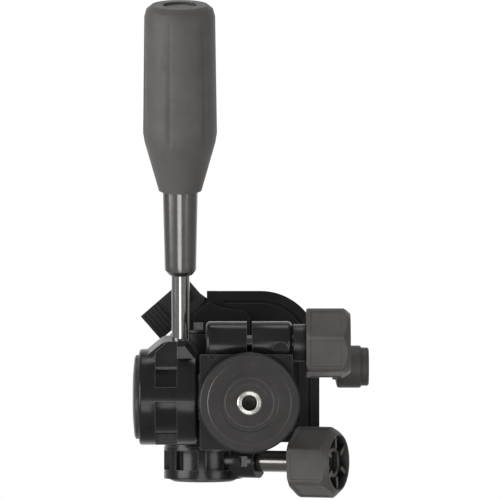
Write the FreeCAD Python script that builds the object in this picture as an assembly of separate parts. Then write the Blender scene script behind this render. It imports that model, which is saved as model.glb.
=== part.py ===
"""Three-way pan and tilt head for a tripod: base, pan block, tilt drum, side-tilt drum and camera platform.

Millimetres, +Z up. The origin is the centre of the tripod socket's mouth, on the underside of the base.
The pan handle points to -Y, towards the operator, and +X is the operator's right.
"""

import FreeCAD, Part
import math
import os

os.makedirs("parts", exist_ok=True)
V = FreeCAD.Vector

# Clearances
FIT = 0.05            # radial, shaft in its bore
GAP = 0.3             # between faces that move past each other

# Base and pan
DISC_R = 26.0
DISC_TOP = 8.4
WASHER_TOP = 8.8
SOCKET_R = 3.97       # wall radius of the 3/8"-16 socket
SOCKET_DEPTH = 12.0
INSERT_R = 6.4
SPINDLE_FOOT_R = 9.8
SPINDLE_NECK_R = 12.0
SPINDLE_R = 15.0
SPINDLE_TOP = 23.5
RETAINER_R = 20.0
RETAINER_TOP = 12.0

PAN_BOTTOM = WASHER_TOP + GAP
PAN_LEFT = -25.6
PAN_RIGHT = 22.3
PAN_HALF_Y = 24.6
PAN_SHOULDER = 27.0   # height where the block starts to narrow
PAN_TOP_R = 18.0      # rounded top, about the tilt axis

CLAMP_Y = -30.5       # split clamp barrel, along X
CLAMP_Z = 21.0
CLAMP_R = 11.3
BARREL_LEFT = -22.6
BARREL_RIGHT = 22.1
SLIT = 2.7
SCREW_R = 4.0         # M8 clamp and brake screws

# Tilt
TILT_Y = -2.0
TILT_Z = 38.0
TILT_LEFT = -57.6
TILT_RIGHT = -26.9
TILT_R = 25.1
SHAFT_R = 8.0
BRAKE_R = 14.0        # brake drum on each shaft
HANDLE_X = -35.8
HANDLE_DROP = math.radians(13)
ROD_R = 4.7

# Side tilt
SIDE_X = -24.6
SIDE_Z = 84.0
SIDE_R = 20.5
SIDE_RIM_R = 20.9
SIDE_BACK = -22.0
SIDE_FRONT = 42.6
SIDE_BUSH_LENGTH = 7.0
SIDE_BUSH_FRONT = 18.0   # back end of the front bush
SIDE_DRUM_BACK = 25.0    # brake drum of the side-tilt shaft
SIDE_DRUM_FRONT = 40.0
SIDE_KNOB_Y = 33.0
SIDE_KNOB_DROP = math.radians(23)
LUG_R = 9.0
LUG_END = 32.4
LUG_BACK = -34.3         # platform's lug on the side-tilt shaft
LUG_FRONT = SIDE_BACK - GAP

# Lock knobs
KNOB_CORNER_R = 19.3
KNOB_ROUNDING = 3.0
KNOB_LENGTH = 23.0
KNOB_RIM_R = 15.2

# Platform
PLAT_BOTTOM = 108.0
PLAT_FLOOR = 113.2
PLAT_TOP = 118.0
PLAT_LEFT = -34.2
PLAT_RIGHT = 37.6
PLAT_BACK = -56.8
PLAT_FRONT = 24.5
CORNER_R = 31.6
RIM = 4.4             # edge outside the channel under the platform
CHANNEL = 2.3         # width of that channel
CHANNEL_DEPTH = 2.2
PLATE_Y = -16.0       # middle of the camera plate and its lock knob
PLATE_LENGTH = 50.0
PLATE_X = 1.8
PLATE_HALF = 22.0     # half width at the dovetail's foot
DOVETAIL = 3.0        # how far the dovetail leans in
SHOE_RIGHT = 30.5
LEVER_PIVOT = (-34.0, -53.4)


def save(name, shape):
    """Writes one sub-part as STEP and prints its volume."""
    assert shape.isValid(), name
    shape.exportStep("parts/" + name + ".step")
    print(name, len(shape.Solids), round(shape.Volume))


def box(x0, x1, y0, y1, z0, z1):
    return Part.makeBox(x1 - x0, y1 - y0, z1 - z0, V(x0, y0, z0))


def rod(origin, direction, length, radius):
    return Part.makeCylinder(radius, length, V(*origin), V(*direction))


def tube(origin, direction, length, outer, inner):
    return rod(origin, direction, length, outer).cut(rod(origin, direction, length, inner))


def place(shape, origin, direction, across):
    """Moves a shape made on the origin: its +Z goes along direction and its +X along across."""
    z = V(*direction).normalize()
    x = V(*across).normalize()
    shape.Placement = FreeCAD.Placement(V(*origin), FreeCAD.Rotation(x, z.cross(x), z, "ZXY"))
    return shape


def turned(profile):
    """A solid of revolution about Z from (radius, height) corners."""
    wire = Part.makePolygon([V(r, 0, h) for r, h in profile + profile[:1]])
    return Part.Face(wire).revolve(V(0, 0, 0), V(0, 0, 1), 360)


def prism(corners, rise):
    """Extrudes a closed polygon of 3-D corners by a vector."""
    wire = Part.makePolygon([V(*c) for c in corners + corners[:1]])
    return Part.Face(wire).extrude(V(*rise))


def sector(inner, outer, length, sweep):
    """Part of a ring about Z, from local +X round by sweep degrees."""
    ring = Part.makeCylinder(outer, length, V(0, 0, 0), V(0, 0, 1), sweep)
    return ring.cut(Part.makeCylinder(inner, length))


def hexagon(corner_r, length, rounding=0.0):
    """Hexagonal prism about Z with a corner on +X."""
    angles = [math.radians(60 * i) for i in range(6)]
    corners = [(corner_r * math.cos(a), corner_r * math.sin(a), 0) for a in angles]
    solid = prism(corners, (0, 0, length))
    if rounding:
        upright = [e for e in solid.Edges if abs(e.Vertexes[0].Z - e.Vertexes[1].Z) > length / 2]
        solid = solid.makeFillet(rounding, upright)
    return solid


# Directions used by the two brakes
HANDLE_AXIS = V(0, -math.cos(HANDLE_DROP), -math.sin(HANDLE_DROP))
HANDLE_UP = V(0, -math.sin(HANDLE_DROP), math.cos(HANDLE_DROP))
HANDLE_FOOT = V(HANDLE_X, TILT_Y, TILT_Z)
KNOB_AXIS = V(math.cos(SIDE_KNOB_DROP), 0, -math.sin(SIDE_KNOB_DROP))
KNOB_DOWN = V(-math.sin(SIDE_KNOB_DROP), 0, -math.cos(SIDE_KNOB_DROP))
KNOB_FOOT = V(SIDE_X, SIDE_KNOB_Y, SIDE_Z)


def on_handle(s):
    """Point on the handle's axis, s from the tilt axis."""
    return tuple(HANDLE_FOOT + HANDLE_AXIS * s)


def on_knob(s):
    """Point on the side knob's axis, s from the side-tilt axis."""
    return tuple(KNOB_FOOT + KNOB_AXIS * s)


# ---------------------------------------------------------------- base

def base_disc():
    profile = [(SPINDLE_FOOT_R, 0.5), (12.4, 0.5), (12.6, 0.7), (12.8, 0.5), (15.0, 0.5), (15.0, 0), (21.4, 0), (21.6, 0.25),
               (25.2, 0.25), (DISC_R, 1.05), (DISC_R, 7.6), (25.2, DISC_TOP), (SPINDLE_FOOT_R, DISC_TOP)]
    return turned(profile)


def socket_insert():
    profile = [(SOCKET_R, 0), (5.9, 0), (INSERT_R, 0.5), (INSERT_R, SOCKET_DEPTH), (SOCKET_R, SOCKET_DEPTH)]
    return turned(profile)


def pan_spindle():
    profile = [(INSERT_R, 0.3), (SPINDLE_FOOT_R, 0.3), (SPINDLE_FOOT_R, DISC_TOP), (SPINDLE_NECK_R, DISC_TOP),
               (SPINDLE_NECK_R, RETAINER_TOP + GAP), (SPINDLE_R, RETAINER_TOP + GAP), (SPINDLE_R, SPINDLE_TOP),
               (0, SPINDLE_TOP), (0, SOCKET_DEPTH), (INSERT_R, SOCKET_DEPTH)]
    return turned(profile).cut(place(hexagon(2.4, 2.5), (0, 0, SOCKET_DEPTH), (0, 0, 1), (0, 1, 0)))


def pan_thrust_washer():
    return tube((0, 0, DISC_TOP), (0, 0, 1), WASHER_TOP - DISC_TOP, 24.0, 16.0)


# ---------------------------------------------------------------- pan block

RETAINER_SCREWS = [math.radians(a) for a in (60, 180, 300)]
RETAINER_SCREW_CIRCLE = 17.0


def pan_retainer():
    ring = tube((0, 0, PAN_BOTTOM + 0.1), (0, 0, 1), RETAINER_TOP - PAN_BOTTOM - 0.1, RETAINER_R,
                SPINDLE_NECK_R + 0.4)
    for a in RETAINER_SCREWS:
        x, y = RETAINER_SCREW_CIRCLE * math.cos(a), RETAINER_SCREW_CIRCLE * math.sin(a)
        ring = ring.cut(rod((x, y, 0), (0, 0, 1), 20, 1.25))
        ring = ring.cut(rod((x, y, 0), (0, 0, 1), PAN_BOTTOM + 1.5, 2.4))
    return ring


def retainer_screws():
    screws = []
    for a in RETAINER_SCREWS:
        x, y = RETAINER_SCREW_CIRCLE * math.cos(a), RETAINER_SCREW_CIRCLE * math.sin(a)
        head = rod((x, y, PAN_BOTTOM + 0.1), (0, 0, 1), 1.4, 2.3)
        screws.append(head.fuse(rod((x, y, PAN_BOTTOM + 1.0), (0, 0, 1), 10.0, 1.25)))
    return Part.makeCompound(screws)


EJECTOR_MARKS = [(16.2, -27.2, 4.0), (-19.1, -24.2, 2.0)]   # X, Y and radius
TILT_NUT_X = 13.0


def pan_body():
    """Casting that turns on the spindle, splits at the front for its clamp and carries the tilt shaft."""
    y = PAN_HALF_Y
    side = [(PAN_LEFT, -y, PAN_BOTTOM), (PAN_LEFT, y, PAN_BOTTOM), (PAN_LEFT, y, PAN_SHOULDER),
            (PAN_LEFT, TILT_Y + PAN_TOP_R, TILT_Z), (PAN_LEFT, TILT_Y - PAN_TOP_R, TILT_Z),
            (PAN_LEFT, -y, PAN_SHOULDER)]
    body = prism(side, (PAN_RIGHT - PAN_LEFT, 0, 0))
    corner = 17.0
    keep = box(PAN_LEFT, PAN_RIGHT, -y, y, 0, 80)
    edge = [e for e in keep.Edges if e.BoundBox.XMin > PAN_RIGHT - 1 and e.BoundBox.YMin > y - 1
            and e.BoundBox.ZLength > 1]
    body = body.common(keep.makeFillet(corner, edge))
    body = body.fuse(rod((PAN_LEFT, TILT_Y, TILT_Z), (1, 0, 0), PAN_RIGHT - PAN_LEFT, PAN_TOP_R))
    barrel = rod((BARREL_LEFT, CLAMP_Y, CLAMP_Z), (1, 0, 0), BARREL_RIGHT - BARREL_LEFT, CLAMP_R)
    barrel = barrel.makeFillet(2.4, [e for e in barrel.Edges if e.BoundBox.XLength < 0.1])
    body = body.fuse(barrel).removeSplitter()
    body = body.cut(rod((0, 0, 0), (0, 0, 1), SPINDLE_TOP + 0.5, SPINDLE_R + FIT))
    body = body.cut(rod((0, 0, 0), (0, 0, 1), RETAINER_TOP, RETAINER_R))
    for a in RETAINER_SCREWS:
        at = (RETAINER_SCREW_CIRCLE * math.cos(a), RETAINER_SCREW_CIRCLE * math.sin(a), 0)
        body = body.cut(rod(at, (0, 0, 1), PAN_BOTTOM + 11.0, 1.25))
    body = body.cut(box(-SLIT / 2, SLIT / 2, -60, -10, 0, 32.8))
    body = body.cut(rod((-50, CLAMP_Y, CLAMP_Z), (1, 0, 0), 100, SCREW_R + FIT))
    nut = place(hexagon(7.5, 6.2), (BARREL_LEFT - 0.1, CLAMP_Y, CLAMP_Z), (1, 0, 0), (0, 0, 1))
    body = body.cut(nut)
    for x, mark_y, radius in EJECTOR_MARKS:
        body = body.cut(rod((x, mark_y, 0), (0, 0, 1), PAN_BOTTOM + 1.3, radius))
    body = body.cut(rod((-50, TILT_Y, TILT_Z), (1, 0, 0), 100, SHAFT_R))
    return body.cut(rod((TILT_NUT_X, TILT_Y, TILT_Z), (1, 0, 0), 20, 12.0))


def pan_clamp_nut():
    nut = place(hexagon(7.4, 5.3), (BARREL_LEFT + 0.8, CLAMP_Y, CLAMP_Z), (1, 0, 0), (0, 0, 1))
    return nut.cut(rod((-50, CLAMP_Y, CLAMP_Z), (1, 0, 0), 100, SCREW_R + FIT))


# ---------------------------------------------------------------- lock knobs

def knob_grip():
    """Six-sided knob, open and spoked at its outer end; made along +Z from its inner face."""
    grip = hexagon(KNOB_CORNER_R, KNOB_LENGTH, KNOB_ROUNDING)
    wide = KNOB_CORNER_R + 0.1
    envelope = turned([(0, 0), (wide - 1.6, 0), (wide, 1.6), (wide, KNOB_LENGTH - 4.5), (KNOB_RIM_R, KNOB_LENGTH),
                       (0, KNOB_LENGTH)])
    grip = grip.common(envelope)
    flat = KNOB_CORNER_R * math.cos(math.radians(30))
    for i in range(6):
        panel = box(flat - 0.35, flat + 1.0, -7.2, 7.2, 2.2, KNOB_LENGTH - 4.8)
        panel.rotate(V(0, 0, 0), V(0, 0, 1), 60 * i + 30)
        grip = grip.cut(panel)
    hollow = rod((0, 0, 9), (0, 0, 1), 30, 14.3)
    hub = rod((0, 0, 9), (0, 0, 1), KNOB_LENGTH - 12, 8.2)
    grip = grip.cut(hollow).fuse(hub)
    for i in range(6):
        spoke = box(7.6, 15.0, -1.1, 1.1, 9, KNOB_LENGTH - 1.2)
        spoke.rotate(V(0, 0, 0), V(0, 0, 1), 60 * i)
        grip = grip.fuse(spoke)
    grip = grip.cut(rod((0, 0, 12), (0, 0, 1), 30, 6.0))
    return grip.cut(rod((0, 0, -1), (0, 0, 1), 30, SCREW_R))


def knob_screw(reach):
    """Clamp screw with its head seated in the knob; made along +Z, reaching back from the inner face."""
    head = place(hexagon(5.9, 5.2), (0, 0, 12), (0, 0, 1), (1, 0, 0))
    socket = place(hexagon(3.0, 4.0), (0, 0, 14.5), (0, 0, 1), (1, 0, 0))
    return rod((0, 0, -reach), (0, 0, 1), reach + 12.5, SCREW_R).fuse(head).cut(socket)


PAN_KNOB_X = 29.4
PAN_KNOB_TURN = math.radians(-12)
SIDE_KNOB_S = 54.8
SIDE_KNOB_TURN = math.radians(35)


def at_pan_knob(shape):
    across = (0, math.sin(PAN_KNOB_TURN), -math.cos(PAN_KNOB_TURN))
    return place(shape, (PAN_KNOB_X, CLAMP_Y, CLAMP_Z), (1, 0, 0), across)


def at_side_knob(shape):
    across = KNOB_DOWN * math.cos(SIDE_KNOB_TURN) + V(0, 1, 0) * math.sin(SIDE_KNOB_TURN)
    return place(shape, on_knob(SIDE_KNOB_S), tuple(KNOB_AXIS), tuple(across))


def pan_knob_collar():
    return tube((PAN_RIGHT + GAP, CLAMP_Y, CLAMP_Z), (1, 0, 0), PAN_KNOB_X - PAN_RIGHT - GAP, 9.8, SCREW_R)


def side_knob_neck():
    start = LUG_END + GAP - SIDE_KNOB_S
    profile = [(SCREW_R, start), (5.7, start), (5.7, -3.5), (6.6, -2.0), (8.4, 0), (SCREW_R, 0)]
    return at_side_knob(turned(profile))


# ---------------------------------------------------------------- tilt section

TILT_DRUM_LEFT = -49.5     # inner brake drum of the tilt shaft
TILT_DRUM_RIGHT = -32.5
TILT_SHAFT_END = -54.1
TILT_POCKETS = (-48.9, -37.6)
POCKET_FLOOR_R = 19.7


def tilt_shaft():
    """Fixed in the pan block; the tilt drum turns on it."""
    profile = [(0, -20.0), (6.0, -20.0), (6.0, -13.0), (SHAFT_R, -13.0), (SHAFT_R, -TILT_DRUM_RIGHT),
               (BRAKE_R, -TILT_DRUM_RIGHT), (BRAKE_R, -TILT_DRUM_LEFT), (SHAFT_R, -TILT_DRUM_LEFT),
               (SHAFT_R, -TILT_SHAFT_END), (0, -TILT_SHAFT_END)]
    return place(turned(profile), (0, TILT_Y, TILT_Z), (-1, 0, 0), (0, 0, 1))


def tilt_shaft_nut():
    nut = place(hexagon(10.8, 6.5), (TILT_NUT_X, TILT_Y, TILT_Z), (1, 0, 0), (0, 0, 1))
    return nut.cut(rod((0, TILT_Y, TILT_Z), (1, 0, 0), 40, 6.0))


def tilt_shaft_cap():
    cap = rod((20.4, TILT_Y, TILT_Z), (1, 0, 0), PAN_RIGHT - 20.4, 12.0)
    return cap.cut(rod((PAN_RIGHT - 0.6, TILT_Y, TILT_Z), (1, 0, 0), 2, 9.5))


def tilt_thrust_washer():
    return tube((TILT_RIGHT + GAP, TILT_Y, TILT_Z), (1, 0, 0), PAN_LEFT - TILT_RIGHT - GAP, 12.0, SHAFT_R)


def tilt_bushes():
    inner = SHAFT_R + FIT
    start = TILT_DRUM_RIGHT + GAP
    right = tube((start, TILT_Y, TILT_Z), (1, 0, 0), TILT_RIGHT - start, 12.5, inner)
    end = TILT_DRUM_LEFT - GAP
    left = tube((TILT_SHAFT_END, TILT_Y, TILT_Z), (1, 0, 0), end - TILT_SHAFT_END, 15.5, inner)
    return Part.makeCompound([right, left])


BOSS_POCKET_Z = 25.4


def handle_boss():
    """Block that the handle screws into, from (X, distance along the handle) corners."""
    half = 9.5
    foot = HANDLE_FOOT - HANDLE_UP * half
    outline = [(TILT_RIGHT, 14), (TILT_RIGHT, 24.8), (-32.5, 32.1), (-44.0, 31.2), (-46.0, 30.3), (-55.5, 22.4),
               (-55.5, 14)]
    corners = [tuple(V(x, foot.y, foot.z) + HANDLE_AXIS * s) for x, s in outline]
    boss = prism(corners, tuple(HANDLE_UP * 2 * half))
    rear = [e for e in boss.Edges if e.BoundBox.YMax < -24.0 or (e.BoundBox.YMin < -28.0 and e.Length < 14)]
    flat = [e for e in rear if abs((e.Vertexes[0].Point - e.Vertexes[1].Point).normalize().dot(HANDLE_UP)) < 0.5]
    boss = boss.makeChamfer(2.4, flat)
    left, right = TILT_POCKETS
    recess = [(left, -18, 15), (left, -25.6, 15), (left + 6.4, -31.2, 15), (right, -31.2, 15), (right, -18, 15)]
    return boss.cut(prism(recess, (0, 0, BOSS_POCKET_Z - 15)))


def tilt_drum():
    """Casting round the tilt shaft, with the handle's boss behind it and a saddle above."""
    x = (1, 0, 0)
    drum = rod((TILT_LEFT, TILT_Y, TILT_Z), x, TILT_RIGHT - TILT_LEFT, TILT_R)
    drum = drum.makeFillet(1.6, [e for e in drum.Edges if e.BoundBox.XLength < 0.1])
    left, right = TILT_POCKETS
    for start, sweep in [(4, 88), (101, 50), (-65, 52)]:
        a = math.radians(start)
        pocket = sector(POCKET_FLOOR_R, 30, right - left, sweep)
        drum = drum.cut(place(pocket, (left, TILT_Y, TILT_Z), x, (0, math.sin(a), -math.cos(a))))
    drum = drum.fuse(handle_boss())
    drum = drum.fuse(box(-45.0, TILT_RIGHT, -14, 14, TILT_Z + 15, SIDE_Z - 9))
    drum = drum.cut(rod((SIDE_X, -60, SIDE_Z), (0, 1, 0), 120, SIDE_R))
    bore_left, bore_right = TILT_DRUM_LEFT - GAP, TILT_DRUM_RIGHT + GAP
    drum = drum.cut(rod((TILT_LEFT, TILT_Y, TILT_Z), x, bore_left - TILT_LEFT, 15.5))
    drum = drum.cut(rod((bore_left, TILT_Y, TILT_Z), x, bore_right - bore_left, BRAKE_R + 0.4))
    drum = drum.cut(rod((bore_right, TILT_Y, TILT_Z), x, 10, 12.5))
    drum = drum.cut(rod(on_handle(8), tuple(HANDLE_AXIS), 40, ROD_R + FIT))
    for y in HOUSING_SCREW_Y:
        drum = drum.cut(rod((HOUSING_SCREW_X, y, 56.0), (0, 0, 1), 20, 2.5))
    return drum


def tilt_end_cap():
    profile = [(0, -3.2), (15.5, -3.2), (15.5, 0), (22.0, 0), (22.0, 1.6), (20.5, 2.4), (12.0, 3.2), (0, 3.5)]
    return place(turned(profile), (TILT_LEFT, TILT_Y, TILT_Z), (-1, 0, 0), (0, 0, 1))


PAD_START = BRAKE_R + GAP    # brake pads reach from the drum to the tip of their screw
PAD_END = 20.0


def tilt_brake_pad():
    return rod(on_handle(PAD_START), tuple(HANDLE_AXIS), PAD_END - PAD_START, ROD_R)


# ---------------------------------------------------------------- pan handle

SLEEVE_S = 65.9
GRIP_S = 110.7
CONE_END_S = 138.1
GRIP_END_S = 208.0
CAP_R = 8.8
FLUTE_TURN = 13


def on_handle_axis(profile):
    return place(turned(profile), tuple(HANDLE_FOOT), tuple(HANDLE_AXIS), (1, 0, 0))


def handle_rod():
    return on_handle_axis([(0, PAD_END), (ROD_R, PAD_END), (ROD_R, GRIP_S + 60), (0, GRIP_S + 60)])


def handle_sleeve():
    return on_handle_axis([(ROD_R, SLEEVE_S), (6.2, SLEEVE_S), (8.2, SLEEVE_S + 2.5), (9.25, GRIP_S + 4),
                           (ROD_R, GRIP_S + 4)])


def handle_grip():
    """Rubber grip with a cone at the sleeve end and six shallow flutes."""
    profile = [(9.25, GRIP_S), (11.15, GRIP_S), (18.3, CONE_END_S - 2), (19.1, CONE_END_S + 3),
               (18.25, GRIP_END_S - 6), (17.2, GRIP_END_S - 2.2), (14.5, GRIP_END_S), (CAP_R, GRIP_END_S),
               (CAP_R, GRIP_END_S - 6), (ROD_R, GRIP_END_S - 6), (ROD_R, GRIP_S + 4), (9.25, GRIP_S + 4)]
    grip = turned(profile)
    for i in range(6):
        a = math.radians(60 * i + FLUTE_TURN)
        at = V(math.cos(a), math.sin(a), 0) * 20.0 + V(0, 0, CONE_END_S - 10)
        flute = Part.makeCylinder(1.8, GRIP_END_S - CONE_END_S + 4, at, V(0, 0, 1))
        grip = grip.cut(flute)
    return place(grip, tuple(HANDLE_FOOT), tuple(HANDLE_AXIS), (1, 0, 0))


def handle_end_cap():
    end = GRIP_END_S
    return on_handle_axis([(0, end - 6), (CAP_R, end - 6), (CAP_R, end - 1.8), (CAP_R - 0.8, end - 1.2),
                           (0, end - 0.9)])


# ---------------------------------------------------------------- side-tilt housing

SIDE_POCKETS = (27.6, 37.8)
HOUSING_SCREW_X = -33.0
HOUSING_SCREW_Y = (-9.0, 9.0)


def side_housing():
    """Housing of the side-tilt shaft, with pockets round its front and a lug for the brake screw."""
    y = (0, 1, 0)
    body = rod((SIDE_X, SIDE_BACK, SIDE_Z), y, SIDE_FRONT - SIDE_BACK - 1, SIDE_R)
    body = body.fuse(rod((SIDE_X, 25.5, SIDE_Z), y, SIDE_FRONT - 25.5, SIDE_RIM_R))
    for start, sweep in [(4, 39), (-43, 36), (-92, 35), (100, 80), (188, 72)]:
        a = math.radians(start)
        pocket = sector(17.4, 30, SIDE_POCKETS[1] - SIDE_POCKETS[0], sweep)
        pocket = place(pocket, (SIDE_X, SIDE_POCKETS[1], SIDE_Z), (0, -1, 0), (math.sin(a), 0, -math.cos(a)))
        body = body.cut(pocket)
    body = body.fuse(rod(on_knob(15.5), tuple(KNOB_AXIS), LUG_END - 15.5, LUG_R))
    recess = place(box(-2.6, 2.6, -2.2, 2.2, 0, 5), on_knob(LUG_END - 5.6), tuple(KNOB_DOWN), (0, 1, 0))
    recess.translate(KNOB_DOWN * (LUG_R - 1.6))
    body = body.cut(recess)
    relief_start = SIDE_BACK + SIDE_BUSH_LENGTH
    body = body.cut(rod((SIDE_X, SIDE_BACK, SIDE_Z), y, 60.0, 12.0))
    body = body.cut(rod((SIDE_X, relief_start, SIDE_Z), y, SIDE_BUSH_FRONT - relief_start, 15.0))
    body = body.cut(rod((SIDE_X, SIDE_DRUM_BACK - 0.2, SIDE_Z), y, 30.0, BRAKE_R + 0.4))
    body = body.cut(rod(on_knob(8.0), tuple(KNOB_AXIS), 40.0, SCREW_R + FIT))
    for screw_y in HOUSING_SCREW_Y:
        body = body.cut(rod((HOUSING_SCREW_X, screw_y, 50.0), (0, 0, 1), 40, 2.5))
        body = body.cut(rod((HOUSING_SCREW_X, screw_y, 68.5), (0, 0, 1), 12, 4.4))
    return body


def housing_screws():
    screws = []
    for y in HOUSING_SCREW_Y:
        screw = rod((HOUSING_SCREW_X, y, 68.5), (0, 0, 1), 4.5, 4.2)
        screws.append(screw.fuse(rod((HOUSING_SCREW_X, y, 56.0), (0, 0, 1), 13.0, 2.5)))
    return Part.makeCompound(screws)


def side_bushes():
    back = tube((SIDE_X, SIDE_BACK, SIDE_Z), (0, 1, 0), SIDE_BUSH_LENGTH, 12.0, SHAFT_R + FIT)
    length = SIDE_DRUM_BACK - GAP - SIDE_BUSH_FRONT
    front = tube((SIDE_X, SIDE_BUSH_FRONT, SIDE_Z), (0, 1, 0), length, 12.0, SHAFT_R + FIT)
    return Part.makeCompound([back, front])


def side_end_cap():
    profile = [(0, -2.2), (BRAKE_R + 0.4, -2.2), (BRAKE_R + 0.4, 0), (17.6, 0), (17.6, 0.7), (15.6, 1.6),
               (0, 1.7)]
    return place(turned(profile), (SIDE_X, SIDE_FRONT, SIDE_Z), (0, 1, 0), (1, 0, 0))


def side_brake_pad():
    return rod(on_knob(PAD_START), tuple(KNOB_AXIS), PAD_END - PAD_START, SCREW_R)


def side_shaft():
    """Carries the platform; its front end is the side brake's drum."""
    profile = [(0, LUG_BACK), (SHAFT_R, LUG_BACK), (SHAFT_R, SIDE_DRUM_BACK), (BRAKE_R, SIDE_DRUM_BACK),
               (BRAKE_R, SIDE_DRUM_FRONT), (0, SIDE_DRUM_FRONT)]
    shaft = place(turned(profile), (SIDE_X, 0, SIDE_Z), (0, 1, 0), (1, 0, 0))
    return shaft.cut(rod((SIDE_X, LUG_BACK, SIDE_Z), (0, 1, 0), 11.0, 3.0))


# ---------------------------------------------------------------- platform

def side_shaft_bolt():
    head = place(hexagon(5.8, 4.0), (SIDE_X, LUG_BACK - 2.0, SIDE_Z), (0, -1, 0), (0, 0, 1))
    return head.fuse(rod((SIDE_X, LUG_BACK - 2.0, SIDE_Z), (0, 1, 0), 12.5, 3.0))


def side_shaft_washer():
    return tube((SIDE_X, LUG_BACK - 2.0, SIDE_Z), (0, 1, 0), 2.0, 11.0, 3.0)


LEVER_CORNER_X = -22.9
CHANNEL_START = -13.5


def platform_outline(z):
    """Closed outline of the platform: a large round corner at the right rear, the lever's chamfer at the left."""
    right_rear = V(PLAT_RIGHT - CORNER_R, PLAT_BACK + CORNER_R, z)
    start = V(right_rear.x, PLAT_BACK, z)
    middle = right_rear + V(math.cos(math.radians(-45)), math.sin(math.radians(-45)), 0) * CORNER_R
    end = V(PLAT_RIGHT, right_rear.y, z)
    front_chamfer = 5.0
    corners = [end, V(PLAT_RIGHT, PLAT_FRONT - front_chamfer, z), V(PLAT_RIGHT - front_chamfer, PLAT_FRONT, z),
               V(PLAT_LEFT + front_chamfer, PLAT_FRONT, z), V(PLAT_LEFT, PLAT_FRONT - front_chamfer, z),
               V(PLAT_LEFT, -42.0, z), V(LEVER_CORNER_X, -51.2, z), V(LEVER_CORNER_X, PLAT_BACK, z), start]
    edges = [Part.Arc(start, middle, end).toShape()]
    edges += [Part.makeLine(a, b) for a, b in zip(corners, corners[1:])]
    return Part.Wire(edges)


def dovetail(x0, x1, lean, y0, y1, z0, z1):
    """Bar along Y whose sides lean in by lean from foot to top."""
    corners = [(x0, y0, z0), (x1, y0, z0), (x1 - lean, y0, z1), (x0 + lean, y0, z1)]
    return prism(corners, (0, y1 - y0, 0))


def platform_body():
    """Casting with a dovetail channel on top, a ribbed underside and a lug down to the side-tilt shaft."""
    outline = platform_outline(PLAT_BOTTOM)
    slab = Part.Face(outline).extrude(V(0, 0, PLAT_TOP - PLAT_BOTTOM))
    left = PLATE_X - PLATE_HALF - 0.35
    lean = DOVETAIL
    y0, y1 = PLAT_BACK - 5, PLAT_FRONT + 5
    channel = [(left, y0, PLAT_FLOOR), (SHOE_RIGHT + 1.6, y0, PLAT_FLOOR), (SHOE_RIGHT + 1.6, y0, 130),
               (left + lean, y0, 130), (left + lean, y0, PLAT_TOP)]
    slab = slab.cut(prism(channel, (0, y1 - y0, 0)))
    inside = Part.Face(outline.makeOffset2D(-RIM - CHANNEL))
    channel = Part.Face(outline.makeOffset2D(-RIM)).cut(inside).extrude(V(0, 0, CHANNEL_DEPTH))
    channel = channel.cut(box(PLAT_LEFT, CHANNEL_START, PLAT_BACK, -10, PLAT_BOTTOM, PLAT_FLOOR))
    end_y = PLAT_BACK + RIM + CHANNEL / 2
    channel = channel.fuse(rod((CHANNEL_START, end_y, PLAT_BOTTOM), (0, 0, 1), CHANNEL_DEPTH, CHANNEL / 2))
    slab = slab.cut(channel)
    middle = Part.Face(outline.makeOffset2D(-RIM - CHANNEL - 4.0)).extrude(V(0, 0, 2.8))
    slab = slab.cut(middle.cut(box(PLAT_LEFT, PLAT_RIGHT, PLAT_BACK, -20, PLAT_BOTTOM, PLAT_FLOOR)))
    lug = rod((SIDE_X, LUG_BACK, SIDE_Z), (0, 1, 0), LUG_FRONT - LUG_BACK, 17.5)
    web = prism([(SIDE_X - 17.3, LUG_BACK, SIDE_Z), (SIDE_X + 17.3, LUG_BACK, SIDE_Z),
                 (SIDE_X + 21.0, LUG_BACK, PLAT_BOTTOM + 1), (PLAT_LEFT + 1.0, LUG_BACK, PLAT_BOTTOM + 1),
                 (PLAT_LEFT - 4.0, LUG_BACK, SIDE_Z + 8)], (0, LUG_FRONT - LUG_BACK, 0))
    z = PLAT_BOTTOM - 4.0
    bracket = prism([(-30.0, -32.0, z), (-30.0, -44.0, z), (-22.0, -50.5, z), (-14.0, -47.6, z), (-3.0, -45.9, z),
                     (0, -43.0, z), (0, -32.0, z)], (0, 0, 4.5))
    slab = slab.fuse(lug).fuse(web).fuse(bracket).removeSplitter()
    slab = slab.cut(rod((SIDE_X, -60, SIDE_Z), (0, 1, 0), 60, SHAFT_R))
    px, py = LEVER_PIVOT
    rail = PLATE_X - PLATE_HALF - 0.35
    slab = slab.cut(box(-60, rail + 0.1, -70, LEVER_SLOT_Y, LEVER_BOTTOM - GAP, LEVER_TOP + GAP))
    ear = rod((px, py, LEVER_TOP + GAP), (0, 0, 1), PLAT_TOP - LEVER_TOP - GAP, 6.0)
    arm = prism([(px - 5.0, py + 3.0, LEVER_TOP + GAP), (px + 3.0, py - 5.2, LEVER_TOP + GAP),
                 (LEVER_CORNER_X + 4.0, -50.0, LEVER_TOP + GAP), (PLAT_LEFT + 4.0, -40.0, LEVER_TOP + GAP)],
                (0, 0, PLAT_TOP - LEVER_TOP - GAP))
    slab = slab.fuse(ear).fuse(arm)
    slab = slab.cut(rod((px, py, 100), (0, 0, 1), 30, 2.5))
    slab = slab.cut(rod((20, PLATE_Y, KNOB_AXIS_Z), (1, 0, 0), 40, 2.5 + FIT))
    slab = slab.cut(rod((BUBBLE_X, BUBBLE_Y, BUBBLE_FOOT), (0, 0, 1), 20, BUBBLE_R))
    slab = slab.cut(rod((STOP_X, STOP_Y, PLAT_BOTTOM), (0, 0, 1), 2.8, 3.1))
    return slab.cut(rod((STOP_X, STOP_Y, 100), (0, 0, 1), 30, 1.5))


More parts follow.
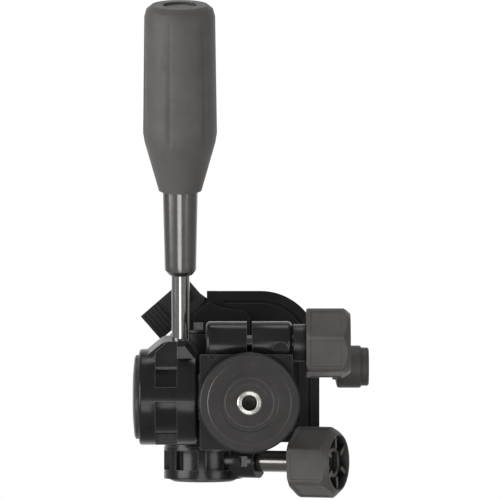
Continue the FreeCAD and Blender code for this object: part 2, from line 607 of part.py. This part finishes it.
LEVER_BOTTOM = 110.9
LEVER_TOP = 115.4
LEVER_SLOT_Y = -32.0
BUBBLE_X, BUBBLE_Y = -27.5, 16.5
BUBBLE_R = 5.6
BUBBLE_FOOT = 113.6
STOP_X, STOP_Y = -12.5, PLATE_Y
PLATE_TRAVEL = 12.0
KNOB_AXIS_Z = 115.0


def plate_stop_screw():
    head = rod((STOP_X, STOP_Y, PLAT_BOTTOM + 1.4), (0, 0, 1), 1.4, 2.8)
    return head.fuse(rod((STOP_X, STOP_Y, PLAT_BOTTOM + 1.4), (0, 0, 1), 6.0, 1.5))


def bubble_housing():
    ring = tube((BUBBLE_X, BUBBLE_Y, BUBBLE_FOOT), (0, 0, 1), PLAT_TOP + 0.3 - BUBBLE_FOOT, BUBBLE_R, 4.4)
    return ring.fuse(rod((BUBBLE_X, BUBBLE_Y, BUBBLE_FOOT), (0, 0, 1), 0.8, 5.0))


def bubble_vial():
    vial = turned([(0, 0), (4.4, 0), (4.4, 2.9), (3.4, 3.4), (0, 3.7)])
    return place(vial, (BUBBLE_X, BUBBLE_Y, BUBBLE_FOOT + 0.8), (0, 0, 1), (1, 0, 0))


def lever_pin():
    px, py = LEVER_PIVOT
    foot = LEVER_BOTTOM - GAP - 1.0
    head = rod((px, py, foot), (0, 0, 1), 1.0, 3.6)
    return head.fuse(rod((px, py, foot), (0, 0, 1), PLAT_TOP - foot, 2.5))


def lever_spring():
    """Torsion spring round the lever's pin, as two closed turns."""
    px, py = LEVER_PIVOT
    turns = [Part.makeTorus(3.8, 0.4, V(px, py, LEVER_TOP - 1.3 + 0.8 * i), V(0, 0, 1)) for i in range(2)]
    return Part.makeCompound(turns)


LEVER_ANGLE = math.radians(139)
LEVER_BACK = -7.0      # ends of the lever, along it from its pin
LEVER_END = 25.2
LEVER_HALF = 8.3


def release_lever():
    """Arm that swings out about its pin; its tongue closes on the camera plate's rear corner."""
    px, py = LEVER_PIVOT
    height = LEVER_TOP - LEVER_BOTTOM
    half = LEVER_HALF
    arm = box(LEVER_BACK, LEVER_END, -half, half, 0, height)
    upright = [e for e in arm.Edges if e.BoundBox.ZLength > 1 and e.Length < height + 1]
    arm = arm.makeFillet(1.6, upright)
    pad = box(LEVER_END - 11.0, LEVER_END, -half, half, -2.4, height + 2.4)
    for i in range(4):
        x0 = LEVER_END - 9.8 + 2.3 * i
        for z0 in (-2.8, height + 1.4):
            pad = pad.cut(box(x0, x0 + 1.2, -half - 1, half + 1, z0, z0 + 1.4))
    lever = arm.fuse(pad)
    lever = place(lever, (px, py, LEVER_BOTTOM), (0, 0, 1), (math.cos(LEVER_ANGLE), math.sin(LEVER_ANGLE), 0))
    tip = V(PLATE_X - PLATE_HALF - 2.9, -39.0, LEVER_BOTTOM)
    reach = V(tip.x - px, tip.y - py, 0)
    tongue = box(0, reach.Length, -2.2, 2.2, 0, height)
    lever = lever.fuse(place(tongue, (px, py, LEVER_BOTTOM), (0, 0, 1), tuple(reach)))
    lever = lever.cut(rod((px, py, 100), (0, 0, 1), 30, 2.5 + FIT))
    return lever.cut(rod((px, py, LEVER_TOP - 1.9), (0, 0, 1), 10, 4.7))


# ---------------------------------------------------------------- camera plate and its lock

def camera_plate():
    foot_z = PLAT_FLOOR + GAP
    x0, x1 = PLATE_X - PLATE_HALF, PLATE_X + PLATE_HALF
    y0, y1 = PLATE_Y - PLATE_LENGTH / 2, PLATE_Y + PLATE_LENGTH / 2
    plate = dovetail(x0, x1, DOVETAIL * 0.93, y0, y1, foot_z, PLAT_TOP - 0.2)
    top = box(x0 + DOVETAIL, x1 - DOVETAIL, y0, y1, PLAT_TOP - 0.3, PLAT_TOP + 0.5)
    flange = box(x0 - 0.6, x1 + 0.6, y0, y1, PLAT_TOP + 0.4, PLAT_TOP + 4.0)
    upright = [e for e in flange.Edges if e.BoundBox.ZLength > 3 and e.Length < 4]
    plate = plate.fuse(top).fuse(flange.makeFillet(4.0, upright)).removeSplitter()
    plate = plate.cut(rod((PLATE_X, PLATE_Y, 100), (0, 0, 1), 30, 3.2 + FIT))
    plate = plate.cut(rod((PLATE_X, PLATE_Y, 100), (0, 0, 1), SCREW_SEAT - 100, 9.0))
    groove_half = PLATE_TRAVEL + 1.5 + 0.4
    return plate.cut(box(STOP_X - 1.9, STOP_X + 1.9, STOP_Y - groove_half, STOP_Y + groove_half, 100, 116.2))


SCREW_SEAT = 118.0


def plate_pad():
    """Rubber face of the plate, with shallow grip ribs across it."""
    x0, x1 = PLATE_X - PLATE_HALF + 1.4, PLATE_X + PLATE_HALF - 1.4
    y0, y1 = PLATE_Y - PLATE_LENGTH / 2 + 2, PLATE_Y + PLATE_LENGTH / 2 - 2
    z = PLAT_TOP + 4.0
    pad = box(x0, x1, y0, y1, z, z + 1.5)
    pad = pad.makeFillet(3.0, [e for e in pad.Edges if e.BoundBox.ZLength > 1])
    count = 12
    for i in range(count):
        y = y0 + (i + 0.5) * (y1 - y0) / count
        pad = pad.cut(box(x0 + 3, x1 - 3, y - 0.5, y + 0.5, z + 1.0, z + 2))
    return pad.cut(rod((PLATE_X, PLATE_Y, 100), (0, 0, 1), 40, 5.0))


def camera_screw():
    """1/4 inch camera screw with a slotted head under the plate."""
    head = rod((PLATE_X, PLATE_Y, SCREW_SEAT - GAP - 3.0), (0, 0, 1), 3.0, 8.6)
    head = head.cut(box(PLATE_X - 9, PLATE_X + 9, PLATE_Y - 0.9, PLATE_Y + 0.9, 110, SCREW_SEAT - GAP - 1.6))
    stem = rod((PLATE_X, PLATE_Y, SCREW_SEAT - GAP - 1.0), (0, 0, 1), CAMERA_FACE + 1.8 - SCREW_SEAT, 3.0)
    thread = rod((PLATE_X, PLATE_Y, CAMERA_FACE + GAP), (0, 0, 1), THREAD_LENGTH, 3.175)
    return head.fuse(stem).fuse(thread)


THREAD_LENGTH = 5.2
CAMERA_FACE = PLAT_TOP + 5.5


def screw_clip():
    return tube((PLATE_X, PLATE_Y, PLAT_TOP + 4.0), (0, 0, 1), 0.8, 4.9, 3.25)


def plate_shoe():
    """Sliding jaw that the plate lock knob presses on the plate's right side."""
    x0 = PLATE_X + PLATE_HALF + 0.35
    z0, z1 = PLAT_FLOOR + GAP, PLAT_TOP - 0.2
    y0, y1 = PLATE_Y - 17.0, PLATE_Y + 17.0
    corners = [(x0, y0, z0), (SHOE_RIGHT, y0, z0), (SHOE_RIGHT, y0, z1), (x0 - DOVETAIL * 0.93, y0, z1)]
    return prism(corners, (0, y1 - y0, 0))


PLATE_KNOB_X = 44.6
PLATE_KNOB_LENGTH = 15.6


def plate_knob_grip():
    """Small round knob, narrower at its foot."""
    end = PLATE_KNOB_LENGTH
    profile = [(2.5, 0), (7.0, 0), (7.0, 1.6), (10.6, 2.4), (11.4, 3.2), (11.4, end - 0.8), (10.6, end), (2.5, end)]
    return place(turned(profile), (PLATE_KNOB_X, PLATE_Y, KNOB_AXIS_Z), (1, 0, 0), (0, 0, 1))


def plate_knob_cap():
    cap = turned([(0, 0), (10.3, 0), (10.3, 3.2), (9.6, 4.0), (0, 4.0)])
    return place(cap, (PLATE_KNOB_X + PLATE_KNOB_LENGTH, PLATE_Y, KNOB_AXIS_Z), (1, 0, 0), (0, 0, 1))


def plate_knob_collar():
    return tube((PLAT_RIGHT + GAP, PLATE_Y, KNOB_AXIS_Z), (1, 0, 0), PLATE_KNOB_X - PLAT_RIGHT - GAP, 5.0, 2.5)


def plate_knob_screw():
    start = SHOE_RIGHT + 2.0
    return rod((start, PLATE_Y, KNOB_AXIS_Z), (1, 0, 0), PLATE_KNOB_X + PLATE_KNOB_LENGTH - start, 2.5)


def main():
    nodes = {
        "base_disc": base_disc(),
        "socket_insert": socket_insert(),
        "pan_spindle": pan_spindle(),
        "pan_thrust_washer": pan_thrust_washer(),
        "pan_body": pan_body(),
        "pan_retainer": pan_retainer(),
        "retainer_screws": retainer_screws(),
        "pan_clamp_nut": pan_clamp_nut(),
        "tilt_shaft": tilt_shaft(),
        "tilt_shaft_nut": tilt_shaft_nut(),
        "tilt_shaft_cap": tilt_shaft_cap(),
        "tilt_thrust_washer": tilt_thrust_washer(),
        "pan_knob_grip": at_pan_knob(knob_grip()),
        "pan_knob_screw": at_pan_knob(knob_screw(PAN_KNOB_X - BARREL_LEFT - 1.5)),
        "pan_knob_collar": pan_knob_collar(),
        "tilt_drum": tilt_drum(),
        "tilt_bushes": tilt_bushes(),
        "tilt_end_cap": tilt_end_cap(),
        "tilt_brake_pad": tilt_brake_pad(),
        "handle_rod": handle_rod(),
        "handle_sleeve": handle_sleeve(),
        "handle_grip": handle_grip(),
        "handle_end_cap": handle_end_cap(),
        "side_housing": side_housing(),
        "housing_screws": housing_screws(),
        "side_bushes": side_bushes(),
        "side_end_cap": side_end_cap(),
        "side_brake_pad": side_brake_pad(),
        "side_knob_grip": at_side_knob(knob_grip()),
        "side_knob_neck": side_knob_neck(),
        "side_knob_screw": at_side_knob(knob_screw(SIDE_KNOB_S - PAD_END)),
        "side_shaft": side_shaft(),
        "side_shaft_bolt": side_shaft_bolt(),
        "side_shaft_washer": side_shaft_washer(),
        "platform_body": platform_body(),
        "plate_stop_screw": plate_stop_screw(),
        "bubble_housing": bubble_housing(),
        "bubble_vial": bubble_vial(),
        "lever_pin": lever_pin(),
        "lever_spring": lever_spring(),
        "release_lever": release_lever(),
        "plate_shoe": plate_shoe(),
        "plate_knob_grip": plate_knob_grip(),
        "plate_knob_cap": plate_knob_cap(),
        "plate_knob_collar": plate_knob_collar(),
        "plate_knob_screw": plate_knob_screw(),
        "camera_plate": camera_plate(),
        "plate_pad": plate_pad(),
        "camera_screw": camera_screw(),
        "screw_clip": screw_clip(),
    }
    for name, shape in nodes.items():
        save(name, shape)


main()
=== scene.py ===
"""Looks of the three-way tripod head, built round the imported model. Metres, in the model's own frame."""

import math

import bpy
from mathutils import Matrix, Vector

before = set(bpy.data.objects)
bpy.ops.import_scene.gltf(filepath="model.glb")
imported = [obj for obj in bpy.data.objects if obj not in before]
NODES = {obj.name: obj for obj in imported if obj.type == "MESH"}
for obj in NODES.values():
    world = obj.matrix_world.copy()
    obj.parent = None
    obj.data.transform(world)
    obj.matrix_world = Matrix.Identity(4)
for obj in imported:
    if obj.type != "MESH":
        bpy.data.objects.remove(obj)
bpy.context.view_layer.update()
WELD_DISTANCE = 0.000002
EDGE_ANGLE = math.radians(32)
HORIZON = 0.30           # strength of the world at and below the horizon
OVERHEAD = 1.02          # strength of the world overhead
FLOOR_DEPTH = -4.2       # behind the camera of the main view
CAMERA_DISTANCE = 2.5
VIEW_WIDTH = 0.2575
SENSOR_WIDTH = 36.0


# ---------------------------------------------------------------- materials

class Finish:
    """A procedural material: builds its nodes and keeps the ones that later steps link to."""

    def __init__(self, name, color, roughness, metallic=0.0):
        self.material = bpy.data.materials.new(name)
        self.material.use_nodes = True
        self.material.diffuse_color = (*color, 1.0)
        self.tree = self.material.node_tree
        self.shader = self.tree.nodes["Principled BSDF"]
        self.shader.inputs["Metallic"].default_value = metallic
        self.shader.inputs["Roughness"].default_value = roughness
        self.shader.inputs["Base Color"].default_value = (*color, 1.0)
        self.color = color
        self.roughness = roughness
        self.coords = self.node("ShaderNodeTexCoord").outputs["Object"]
        self.bump_output = None

    def node(self, kind, **values):
        node = self.tree.nodes.new(kind)
        for key, value in values.items():
            setattr(node, key, value)
        return node

    def link(self, source, target):
        self.tree.links.new(source, target)

    def noise(self, size, detail=3.0, stretch=(1, 1, 1)):
        """Noise whose blobs are about size metres across, stretched along an axis if asked."""
        mapping = self.node("ShaderNodeMapping")
        mapping.inputs["Scale"].default_value = tuple(1.0 / s for s in stretch)
        self.link(self.coords, mapping.inputs["Vector"])
        noise = self.node("ShaderNodeTexNoise")
        noise.inputs["Scale"].default_value = 1.0 / size
        noise.inputs["Detail"].default_value = detail
        self.link(mapping.outputs["Vector"], noise.inputs["Vector"])
        return noise.outputs["Fac"]

    def ranged(self, value, low, high, start=0.3, end=0.7):
        mapper = self.node("ShaderNodeMapRange")
        self.link(value, mapper.inputs["Value"])
        for name, number in (("From Min", start), ("From Max", end), ("To Min", low), ("To Max", high)):
            mapper.inputs[name].default_value = number
        return mapper.outputs["Result"]

    def bump(self, height, distance, strength=1.0):
        """Adds a bump layer on top of those already there."""
        bump = self.node("ShaderNodeBump")
        bump.inputs["Distance"].default_value = distance
        bump.inputs["Strength"].default_value = strength
        self.link(height, bump.inputs["Height"])
        if self.bump_output is not None:
            self.link(self.bump_output, bump.inputs["Normal"])
        self.bump_output = bump.outputs["Normal"]
        self.link(self.bump_output, self.shader.inputs["Normal"])
        return self

    def vary_roughness(self, size, spread, **kwargs):
        low, high = self.roughness - spread, self.roughness + spread
        self.link(self.ranged(self.noise(size, **kwargs), low, high), self.shader.inputs["Roughness"])
        return self

    def vary_color(self, size, amount, edge_highlight=0.0, edge_highlight_color=(0.3, 0.29, 0.28), **kwargs):
        """Light and dark patches, with a painted highlight: the colour lightens towards the given pale edge
        colour along the edges.
        """
        dark = tuple(c * (1 - amount) for c in self.color)
        light = tuple(c * (1 + amount) for c in self.color)
        mix = self.node("ShaderNodeMix", data_type="RGBA")
        mix.inputs["A"].default_value = (*dark, 1)
        mix.inputs["B"].default_value = (*light, 1)
        self.link(self.ranged(self.noise(size, **kwargs), 0.0, 1.0), mix.inputs["Factor"])
        result = mix.outputs["Result"]
        # Painted highlight: the edges are lightened towards a pale grey instead of being lit
        if edge_highlight:
            highlighted_edges = self.node("ShaderNodeMix", data_type="RGBA")
            self.link(self.edges(edge_highlight), highlighted_edges.inputs["Factor"])
            self.link(result, highlighted_edges.inputs["A"])
            highlighted_edges.inputs["B"].default_value = (*edge_highlight_color, 1)
            result = highlighted_edges.outputs["Result"]
        self.link(result, self.shader.inputs["Base Color"])
        return self

    def edges(self, amount, radius=0.0004):
        """Mask of the edges: where a normal rounded over radius metres leaves the true one."""
        rounded = self.node("ShaderNodeBevel", samples=6)
        rounded.inputs["Radius"].default_value = radius
        geometry = self.node("ShaderNodeNewGeometry")
        compare = self.node("ShaderNodeVectorMath", operation="DOT_PRODUCT")
        self.link(rounded.outputs["Normal"], compare.inputs[0])
        self.link(geometry.outputs["Normal"], compare.inputs[1])
        return self.ranged(compare.outputs["Value"], amount, 0.0, 0.80, 0.985)

    def paint_hollow_shade(self, distance):
        """Paints shade into the colour where surfaces within distance metres close the view out."""
        occlusion = self.node("ShaderNodeAmbientOcclusion", samples=8)
        occlusion.inputs["Distance"].default_value = distance
        scale = self.node("ShaderNodeVectorMath", operation="SCALE")
        color = self.shader.inputs["Base Color"]
        self.link(color.links[0].from_socket, scale.inputs[0])
        self.link(self.ranged(occlusion.outputs["AO"], 0.10, 1.0, 0.40, 0.78), scale.inputs["Scale"])
        self.link(scale.outputs["Vector"], color)
        return self

    def set(self, **sockets):
        for name, value in sockets.items():
            self.shader.inputs[name.replace("_", " ")].default_value = value
        return self

    def rings(self, pitch, depth):
        """Turning marks: circles pitch metres apart about the Z axis through the origin of the model."""
        wave = self.node("ShaderNodeTexWave", wave_type="RINGS", rings_direction="Z")
        wave.inputs["Scale"].default_value = 2 * math.pi / (20 * pitch)
        wave.inputs["Distortion"].default_value = 0.6
        wave.inputs["Detail"].default_value = 2.0
        self.link(self.coords, wave.inputs["Vector"])
        return self.bump(wave.outputs["Fac"], depth)


def casting_finish():
    finish = Finish("black_satin_paint", (0.010, 0.010, 0.0105), 0.28)
    # Edges lightened as a painted highlight
    finish.vary_color(0.012, 0.25, edge_highlight=0.6).vary_roughness(0.006, 0.04)
    finish.set(Coat_Weight=0.3, Coat_Roughness=0.16, Specular_IOR_Level=0.22)
    return finish.bump(finish.noise(0.00045, detail=4), 0.000014).bump(finish.noise(0.006), 0.00002, 0.5)


def platform_finish():
    finish = Finish("black_textured_paint", (0.006, 0.006, 0.0062), 0.42)
    # Edges lightened as a painted highlight
    finish.vary_color(0.012, 0.3, edge_highlight=0.25)
    finish.set(Specular_IOR_Level=0.3)
    return finish.bump(finish.noise(0.0005, detail=4), 0.00003)


def disc_finish():
    finish = Finish("turned_black_aluminium", (0.050, 0.048, 0.047), 0.42, metallic=0.8)
    # Edges lightened as a painted highlight
    finish.vary_color(0.01, 0.12, edge_highlight=0.75)
    return finish.rings(0.00042, 0.000012).bump(finish.noise(0.0006), 0.000008)


def cap_finish():
    finish = Finish("satin_grey_cap", (0.05, 0.048, 0.046), 0.36)
    return finish.vary_color(0.008, 0.12).bump(finish.noise(0.0005, detail=4), 0.00002)


def knob_finish():
    finish = Finish("matte_knob_plastic", (0.076, 0.070, 0.066), 0.45)
    # Edges lightened as a painted highlight, and shade painted into the hollows
    finish.vary_color(0.01, 0.10, edge_highlight=0.12).paint_hollow_shade(0.012).vary_roughness(0.003, 0.05)
    return finish.bump(finish.noise(0.00035, detail=4), 0.00003)


def grip_finish():
    finish = Finish("grip_rubber", (0.095, 0.089, 0.084), 0.58)
    finish.vary_color(0.012, 0.10).vary_roughness(0.004, 0.05)
    finish.set(Sheen_Weight=0.15, Sheen_Roughness=0.5)
    return finish.bump(finish.noise(0.00035, detail=4), 0.000035)


def sleeve_finish():
    finish = Finish("gloss_sleeve", (0.17, 0.165, 0.158), 0.2, metallic=0.85)
    finish.vary_roughness(0.004, 0.03)
    finish.set(Coat_Weight=0.4, Coat_Roughness=0.06)
    return finish.bump(finish.noise(0.005), 0.00004, 0.4)


def metal_finish(name, color, roughness, stretch=(1, 1, 1), grain=0.00002):
    finish = Finish(name, color, roughness, metallic=1.0)
    finish.vary_roughness(0.002, 0.05, stretch=stretch)
    return finish.bump(finish.noise(0.0008, detail=3, stretch=stretch), grain, 0.6)


def plastic_finish(name, color, roughness):
    finish = Finish(name, color, roughness)
    return finish.vary_color(0.006, 0.08).bump(finish.noise(0.0004, detail=3), 0.00002)


def vial_finish():
    finish = Finish("level_vial", (0.55, 0.8, 0.2), 0.05)
    finish.set(Transmission_Weight=0.6, IOR=1.4)
    return finish.bump(finish.noise(0.002), 0.00002, 0.3)


FINISHES = {
    "casting": casting_finish(),
    "disc": disc_finish(),
    "cap": cap_finish(),
    "knob": knob_finish(),
    "small_knob": plastic_finish("grey_knob_plastic", (0.055, 0.051, 0.048), 0.5),
    "grip": grip_finish(),
    "sleeve": sleeve_finish(),
    "rod": metal_finish("black_chrome", (0.36, 0.352, 0.342), 0.10, stretch=(1, 12, 1)),
    "nickel": metal_finish("nickel_bush", (0.62, 0.60, 0.56), 0.2).rings(0.0005, 0.00004),
    "steel": metal_finish("zinc_steel", (0.15, 0.15, 0.147), 0.36),
    "black_steel": metal_finish("black_oxide", (0.03, 0.03, 0.03), 0.4),
    "bearing": plastic_finish("bearing_plastic", (0.45, 0.44, 0.40), 0.45),
    "lever": plastic_finish("lever_paint", (0.012, 0.012, 0.0125), 0.33),
    "platform": platform_finish(),
    "plate": plastic_finish("plate_enamel", (0.03, 0.03, 0.031), 0.42),
    "vial": vial_finish(),
}

NODE_FINISH = {
    "casting": ["pan_body", "tilt_drum", "side_housing"],
    "platform": ["platform_body"],
    "disc": ["base_disc", "pan_spindle"],
    "lever": ["release_lever", "pan_knob_collar", "plate_knob_collar"],
    "cap": ["tilt_end_cap", "side_end_cap", "tilt_shaft_cap", "bubble_housing"],
    "knob": ["pan_knob_grip", "side_knob_grip"],
    "small_knob": ["plate_knob_grip", "plate_knob_cap"],
    "grip": ["handle_grip", "handle_end_cap", "plate_pad"],
    "sleeve": ["handle_sleeve", "side_knob_neck"],
    "rod": ["handle_rod"],
    "nickel": ["socket_insert"],
    "steel": ["retainer_screws", "pan_clamp_nut", "tilt_shaft", "tilt_shaft_nut", "pan_knob_screw",
              "housing_screws", "side_knob_screw", "side_shaft", "plate_knob_screw", "camera_screw",
              "lever_spring", "screw_clip"],
    "black_steel": ["pan_retainer", "side_shaft_washer", "side_shaft_bolt", "plate_stop_screw", "lever_pin"],
    "bearing": ["pan_thrust_washer", "tilt_thrust_washer", "tilt_bushes", "side_bushes", "tilt_brake_pad",
                "side_brake_pad"],
    "plate": ["camera_plate", "plate_shoe"],
    "vial": ["bubble_vial"],
}

# Rounding of sharp edges, in metres, for the nodes that show
EDGE_ROUND = {
    "pan_body": 0.0009, "tilt_drum": 0.0009, "side_housing": 0.0008, "platform_body": 0.0006,
    "base_disc": 0.00025, "pan_spindle": 0.0002, "tilt_end_cap": 0.0003, "side_end_cap": 0.0003,
    "pan_knob_grip": 0.0006, "side_knob_grip": 0.0006, "pan_knob_collar": 0.0004, "side_knob_neck": 0.0002,
    "plate_knob_grip": 0.0003, "plate_knob_cap": 0.0003, "handle_sleeve": 0.0003, "release_lever": 0.0006,
    "camera_plate": 0.0004, "plate_shoe": 0.0003, "socket_insert": 0.0002, "lever_pin": 0.0003,
    "side_shaft_bolt": 0.0003, "side_shaft_washer": 0.0003, "handle_end_cap": 0.0003,
}


def finish_nodes():
    """Gives each CAD node its material, smooth curved faces and rounded sharp edges."""
    for key, names in NODE_FINISH.items():
        for name in names:
            node = NODES[name]
            node.data.materials.clear()
            node.data.materials.append(FINISHES[key].material)
            weld = node.modifiers.new("weld", "WELD")
            weld.merge_threshold = WELD_DISTANCE
            if name in EDGE_ROUND:
                bevel = node.modifiers.new("edges", "BEVEL")
                bevel.width = EDGE_ROUND[name]
                bevel.segments = 3
                bevel.limit_method = "ANGLE"
                bevel.angle_limit = EDGE_ANGLE
                bevel.use_clamp_overlap = True
                bevel.harden_normals = False


# ---------------------------------------------------------------- stage

def stage_plane(name, height, size, color):
    mesh = bpy.data.meshes.new(name)
    half = size / 2
    corners = [(-half, -half, height), (half, -half, height), (half, half, height), (-half, half, height)]
    mesh.from_pydata(corners, [], [(0, 1, 2, 3)])
    plane = bpy.data.objects.new(name, mesh)
    bpy.context.scene.collection.objects.link(plane)
    material = bpy.data.materials.new(name)
    material.use_nodes = True
    shader = material.node_tree.nodes["Principled BSDF"]
    shader.inputs["Base Color"].default_value = (*color, 1)
    shader.inputs["Roughness"].default_value = 0.9
    mesh.materials.append(material)


def soft_world():
    """Studio that is white overhead, behind the object in the main view, and dimmer towards the horizon."""
    world = bpy.data.worlds.new("studio")
    bpy.context.scene.world = world
    world.use_nodes = True
    tree = world.node_tree
    background = tree.nodes["Background"]
    coords = tree.nodes.new("ShaderNodeTexCoord")
    split = tree.nodes.new("ShaderNodeSeparateXYZ")
    tree.links.new(coords.outputs["Generated"], split.inputs["Vector"])
    mapper = tree.nodes.new("ShaderNodeMapRange")
    mapper.inputs["From Min"].default_value = 0.55
    mapper.inputs["From Max"].default_value = 0.95
    mapper.inputs["To Min"].default_value = HORIZON
    mapper.inputs["To Max"].default_value = OVERHEAD
    tree.links.new(split.outputs["Z"], mapper.inputs["Value"])
    tree.links.new(mapper.outputs["Result"], background.inputs["Strength"])
    background.inputs["Color"].default_value = (1, 1, 1, 1)


def area_light(name, place, target, size, radiance):
    """Square soft box whose face is as bright as radiance times the white background."""
    data = bpy.data.lights.new(name, "AREA")
    data.size = size
    data.energy = radiance * math.pi * size * size
    light = bpy.data.objects.new(name, data)
    light.location = place
    light.rotation_euler = (Vector(target) - Vector(place)).to_track_quat("-Z", "Y").to_euler()
    light.visible_camera = False
    bpy.context.scene.collection.objects.link(light)


def camera():
    """Straight up at the underside from far away, with the handle towards the top of the picture."""
    data = bpy.data.cameras.new("camera")
    data.sensor_width = SENSOR_WIDTH
    data.lens = SENSOR_WIDTH * CAMERA_DISTANCE / VIEW_WIDTH
    data.clip_start = 0.01
    data.clip_end = 60.0
    cam = bpy.data.objects.new("camera", data)
    cam.location = (0.0003, -0.0788, -CAMERA_DISTANCE)
    cam.rotation_euler = (math.pi, 0, 0)
    bpy.context.scene.collection.objects.link(cam)
    bpy.context.scene.camera = cam


def stage():
    stage_plane("floor", FLOOR_DEPTH, 40.0, (0.6, 0.6, 0.6))
    soft_world()
    centre = (-0.01, -0.02, 0.04)
    area_light("left_box", (-1.1, -0.1, -0.55), centre, 0.8, 4.5)
    area_light("right_box", (0.85, 0.1, -1.0), centre, 0.6, 3.0)
    area_light("front_box", (-0.15, 0.55, -1.5), centre, 0.7, 3.0)
    area_light("handle_box", (0.1, -1.5, 0.25), centre, 0.5, 2.5)
    bpy.context.scene.view_settings.view_transform = "Standard"
    camera()


finish_nodes()
stage()
